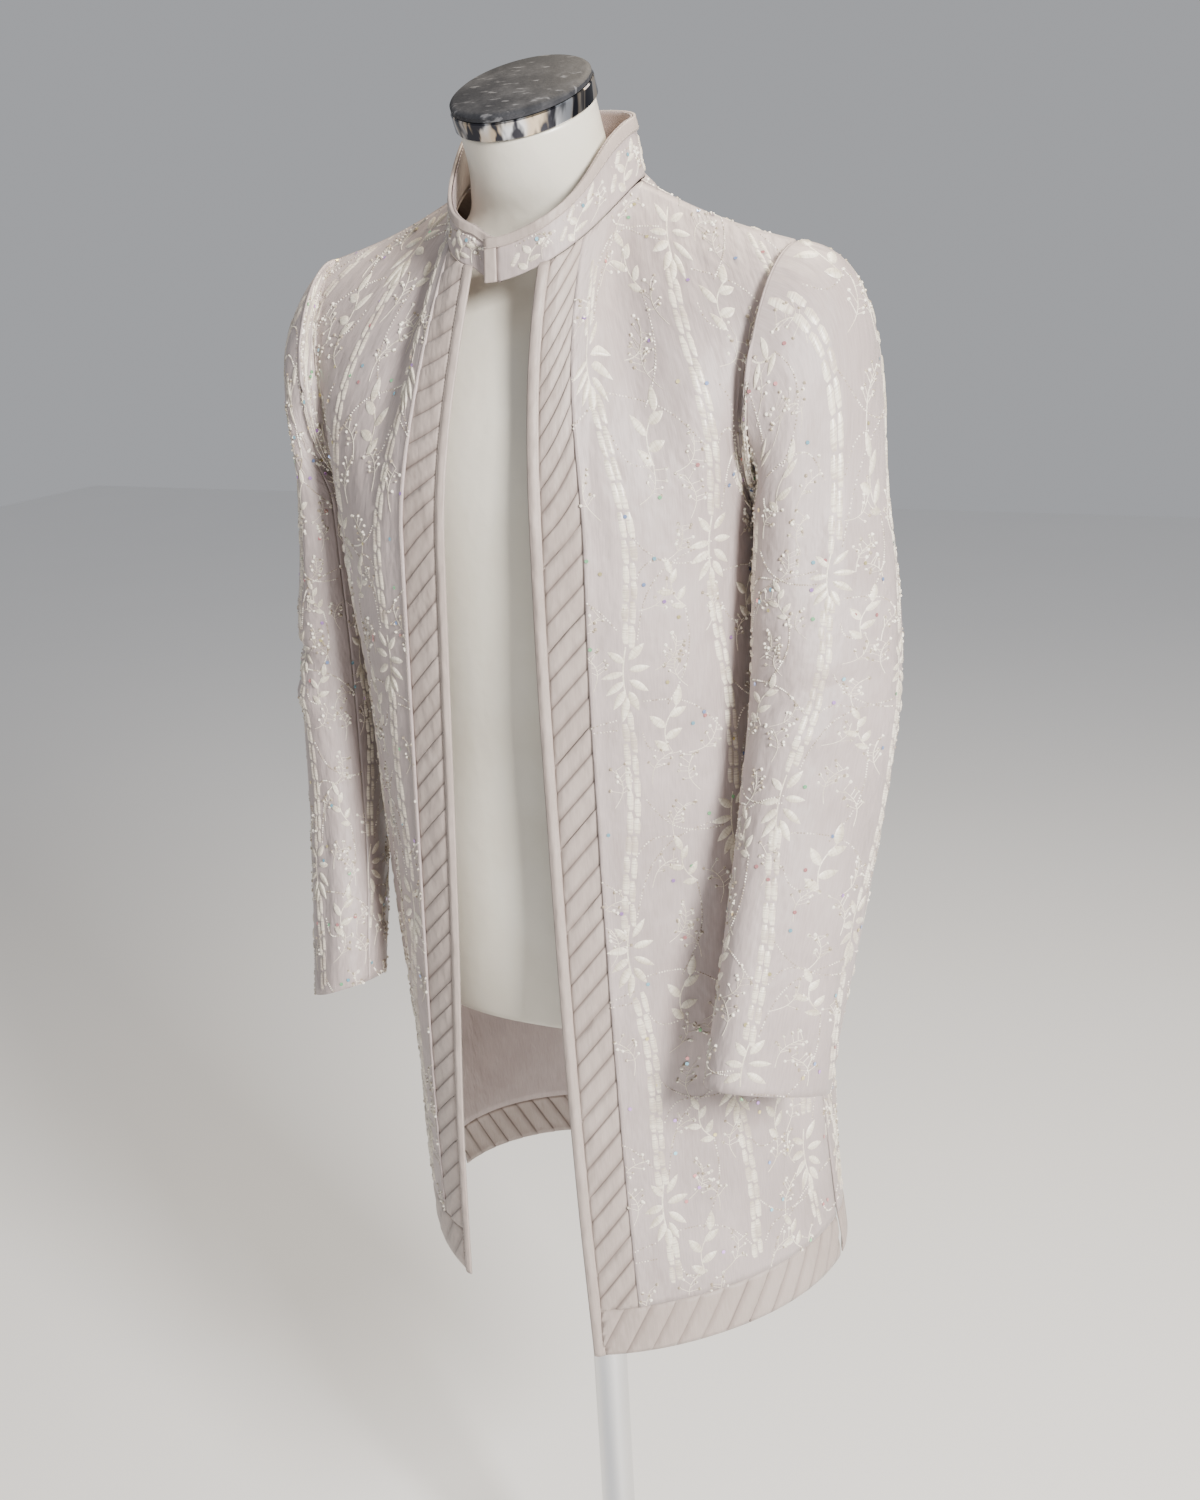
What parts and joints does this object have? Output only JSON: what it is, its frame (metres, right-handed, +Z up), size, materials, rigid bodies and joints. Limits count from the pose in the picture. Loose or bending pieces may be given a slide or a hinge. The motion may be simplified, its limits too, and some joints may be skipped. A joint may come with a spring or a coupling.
{
  "type": "sherwani coat on limbless dress form",
  "caption": "Long open-front embroidered coat with band collar, tucked front bands and hem, slit sides and two-piece sleeves, on a limbless dress form with a round base.",
  "frame": {"origin": "middle of the underside of the dress form's round base, on the floor", "axes": "+Z up, the coat faces -Y, and +X is the wearer's left"},
  "size_m": [0.5728, 0.371, 1.5904],
  "materials": {
    "embroidered_cloth": "pale lilac-beige silk blend with cream satin-stitch embroidery and a soft sheen",
    "tucked_cloth": "plain pale lilac-beige silk blend, pressed into narrow slanting tucks",
    "binding": "plain pale silk blend, folded and pressed",
    "facing_cloth": "mauve-brown plain lining cloth",
    "form_shell": "smooth cream paint over a moulded shell, slightly glossy",
    "chrome": "polished chrome plate",
    "black_cap": "black plastic disc, scuffed and dusty"
  },
  "bodies": {
    "root": {"edge_strip_left": "binding", "edge_strip_right": "binding", "tucked_band_left": "tucked_cloth", "tucked_band_right": "tucked_cloth", "front_left": "embroidered_cloth", "front_right": "embroidered_cloth", "hem_band_front_left": "tucked_cloth", "hem_band_front_right": "tucked_cloth", "hem_band_back": "tucked_cloth", "back": "embroidered_cloth", "upper_sleeve_left": "embroidered_cloth", "upper_sleeve_right": "embroidered_cloth", "under_sleeve_left": "embroidered_cloth", "under_sleeve_right": "embroidered_cloth", "collar": "embroidered_cloth", "collar_binding": "binding", "collar_end_binding": "binding", "collar_facing": "facing_cloth", "form_torso": "form_shell", "form_neck_ring": "chrome", "form_neck_cap": "black_cap", "form_pole": "chrome", "form_base": "chrome"}
  },
  "joints": []
}
